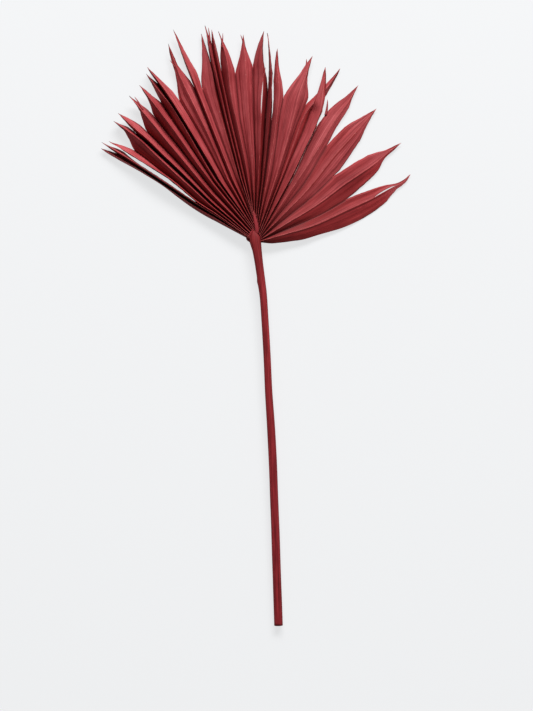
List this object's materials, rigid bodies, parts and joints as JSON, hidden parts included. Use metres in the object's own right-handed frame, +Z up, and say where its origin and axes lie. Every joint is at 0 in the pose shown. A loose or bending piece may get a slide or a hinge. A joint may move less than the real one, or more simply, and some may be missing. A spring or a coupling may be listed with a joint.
{
  "type": "fan palm leaf",
  "caption": "Dried fan palm leaf lying flat: a pleated half-round blade of pointed leaflets, split at the rim, on a long bare stalk with a cut end.",
  "frame": {"origin": "middle of the whole leaf's box, on the surface it lies on", "axes": "+Y from the cut end of the stalk to the leaflet tips, +Z up out of the ribbed back of the blade, +X to the broad side of the blade"},
  "size_m": [0.311, 0.5988, 0.0171],
  "materials": {
    "dyed_leaf": "dry dyed leaf, satin to matt, with fine lengthwise veins and pale worn fold edges"
  },
  "bodies": {
    "root": {"palm_leaf": "dyed_leaf"}
  },
  "joints": []
}
